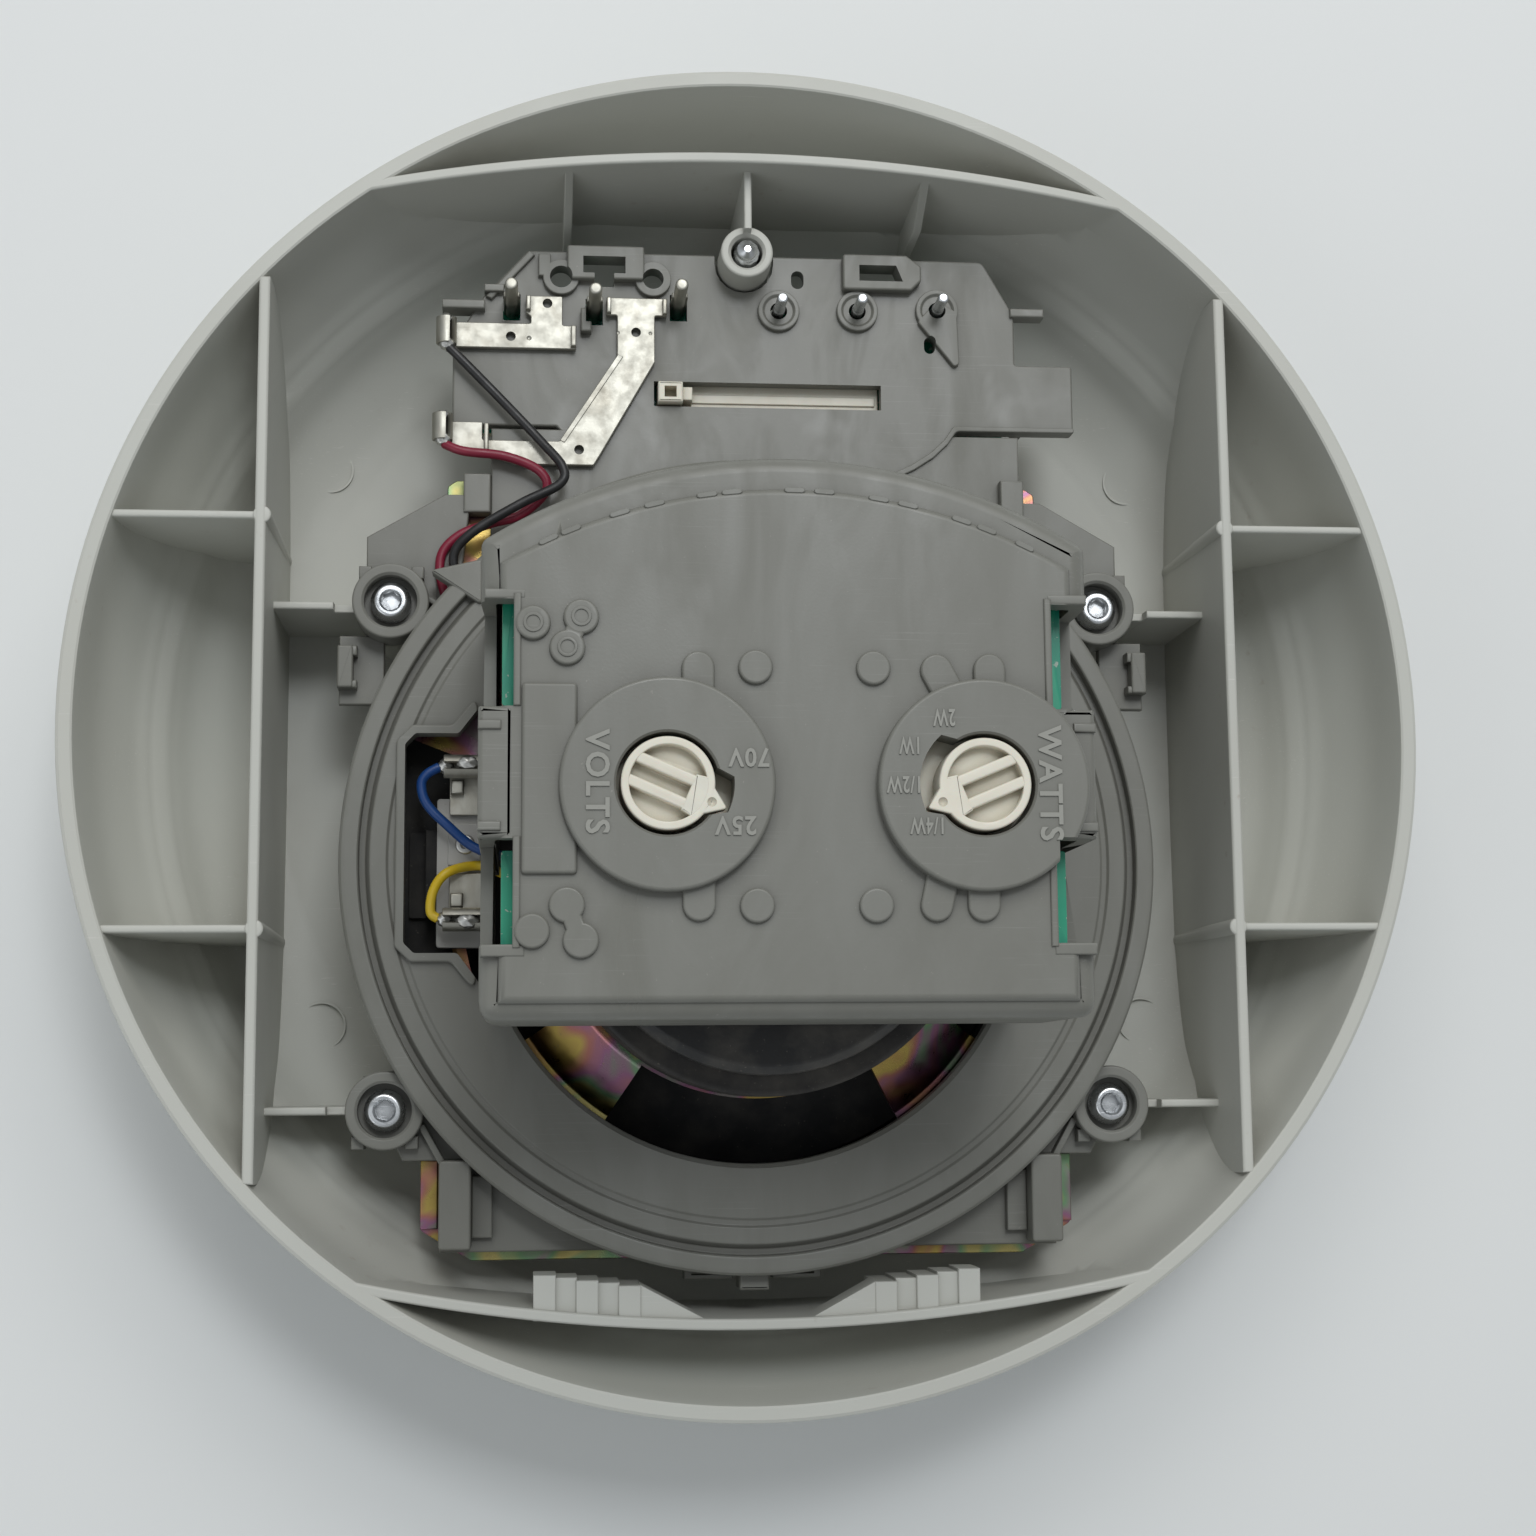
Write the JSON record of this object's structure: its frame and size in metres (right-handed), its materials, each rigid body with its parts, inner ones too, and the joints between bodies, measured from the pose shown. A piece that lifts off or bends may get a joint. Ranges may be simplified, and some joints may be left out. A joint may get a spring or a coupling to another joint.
{
  "type": "ceiling speaker strobe",
  "caption": "Round ceiling fire alarm speaker strobe seen from its back: bowl-shaped cover, loudspeaker on a grey chassis, contact module and a covered line transformer with two selector dials.",
  "frame": {"origin": "centre of the cover's round rim, in the plane of the rim that meets the ceiling", "axes": "+Z towards the ceiling, out of the back; the grille and lens face -Z; +Y from the loudspeaker towards the contact module; +X to the right seen from the back"},
  "size_m": [0.173, 0.173, 0.0778],
  "materials": {
    "cover_plastic": "off-white moulded ABS, fine matt grain",
    "chassis_plastic": "warm grey moulded plastic, satin with rub marks",
    "ivory_plastic": "ivory acetal, satin",
    "black_plastic": "black switch body",
    "board": "green solder mask over pale glass-epoxy",
    "nickel_strip": "nickel-plated strip, lightly smeared",
    "bright_zinc": "bright zinc plated steel",
    "yellow_zinc": "yellow zinc passivate with rainbow colours",
    "magnet_black": "black ferrite and black painted steel",
    "paper_black": "black pulp paper cone",
    "foam_black": "black treated foam",
    "spider_cloth": "resin-treated amber cloth",
    "copper_coil": "enamelled copper winding",
    "laminations": "varnished steel laminations",
    "winding_tape": "yellow film tape",
    "sleeve": "dark shrink sleeve",
    "fibre_board": "pale laminated paper board",
    "clear_lens": "clear polycarbonate",
    "reflector": "vacuum metallised reflector",
    "screen_cloth": "black woven dust screen",
    "wire_black": "black PVC",
    "wire_red": "dark red PVC",
    "wire_blue": "blue PVC",
    "wire_yellow": "yellow PVC"
  },
  "bodies": {
    "root": {"front_cover": "cover_plastic", "dust_screen": "screen_cloth", "strobe_lens": "clear_lens", "strobe_reflector": "reflector", "flash_tube": "clear_lens", "flash_capacitor": "sleeve", "strobe_board": "board", "speaker_frame": "yellow_zinc", "top_plate": "bright_zinc", "magnet": "magnet_black", "yoke": "magnet_black", "spider": "spider_cloth", "surround": "foam_black", "gasket": "foam_black", "terminal_strip": "fibre_board", "positive_lug": "nickel_strip", "negative_lug": "nickel_strip", "rear_chassis": "chassis_plastic", "black_contact": "nickel_strip", "red_contact": "nickel_strip", "contact_pin_1": "nickel_strip", "contact_pin_2": "nickel_strip", "contact_pin_3": "nickel_strip", "power_pin_1": "bright_zinc", "power_pin_2": "bright_zinc", "power_pin_3": "bright_zinc", "transformer_cover": "chassis_plastic", "selector_board": "board", "volts_switch": "black_plastic", "watts_switch": "black_plastic", "transformer_core": "laminations", "transformer_coil": "winding_tape", "blocking_capacitor": "sleeve", "chassis_screw_1": "bright_zinc", "chassis_screw_2": "bright_zinc", "chassis_screw_3": "bright_zinc", "chassis_screw_4": "bright_zinc", "black_wire": "wire_black", "red_wire": "wire_red", "blue_wire": "wire_blue", "yellow_wire": "wire_yellow"},
    "volts_selector": {"volts_knob": "ivory_plastic"},
    "watts_selector": {"watts_knob": "ivory_plastic"},
    "candela_selector": {"candela_slider": "ivory_plastic"},
    "diaphragm": {"cone": "paper_black", "voice_coil": "copper_coil", "dust_cap": "paper_black"},
    "captive_screw": {"mounting_screw": "bright_zinc"}
  },
  "joints": [
    {"name": "volts_turn", "type": "hinge", "parent": "root", "child": "volts_selector", "pos_m": [-0.0135, -0.0134, 0.042], "axis": [0, 0, 1], "range_deg": [0, 27]},
    {"name": "watts_turn", "type": "hinge", "parent": "root", "child": "watts_selector", "pos_m": [0.0211, -0.0134, 0.042], "axis": [0, 0, 1], "range_deg": [-69, 0]},
    {"name": "candela_slide", "type": "slide", "parent": "root", "child": "candela_selector", "axis": [1, 0, 0], "range_m": [0, 0.018]},
    {"name": "diaphragm_stroke", "type": "slide", "parent": "root", "child": "diaphragm", "axis": [0, 0, 1], "range_m": [-0.0015, 0.0015], "stiffness_N_per_m": 2500},
    {"name": "screw_turn", "type": "hinge", "parent": "root", "child": "captive_screw", "pos_m": [0, 0.0636, -0.015], "axis": [0, 0, 1], "continuous": true}
  ]
}
